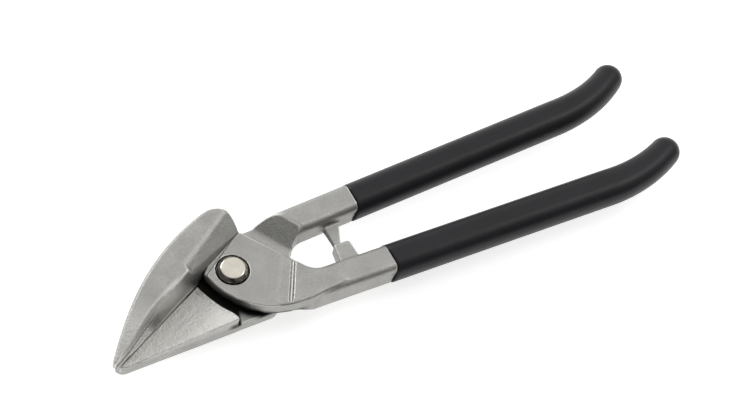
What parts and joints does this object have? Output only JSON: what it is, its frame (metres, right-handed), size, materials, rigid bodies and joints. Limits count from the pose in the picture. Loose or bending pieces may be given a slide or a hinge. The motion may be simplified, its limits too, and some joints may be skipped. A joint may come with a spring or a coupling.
{
  "type": "pelican-pattern sheet-metal shears",
  "caption": "Forged steel sheet-metal shears with one lapped pivot, wide offset upper jaw, hollow lower jaw, stop lugs and long dipped handles.",
  "frame": {"origin": "centre of the bolt head's flat face, on the pivot axis", "axes": "+Z along the pivot axis out of the bolt head, +X along the handles from the pivot to their ends, +Y towards the handle that carries the lower jaw"},
  "size_m": [0.2984, 0.0703, 0.0302],
  "materials": {
    "forged_steel": "blasted forged steel, satin, with ground faces",
    "polished_steel": "polished bolt head",
    "plated_steel": "zinc-plated fasteners",
    "black_plastic": "dipped PVC, satin"
  },
  "bodies": {
    "lower_jaw_side": {"lower_jaw_lever": "forged_steel", "pivot_bolt": "polished_steel", "pivot_washer": "plated_steel", "pivot_nut": "plated_steel", "upper_handle_grip": "black_plastic"},
    "upper_jaw_side": {"upper_jaw_lever": "forged_steel", "lower_handle_grip": "black_plastic"}
  },
  "joints": [
    {"name": "pivot", "type": "hinge", "parent": "lower_jaw_side", "child": "upper_jaw_side", "pos_m": [0, 0, -0.009], "axis": [0, 0, -1], "range_deg": [0, 28]}
  ]
}
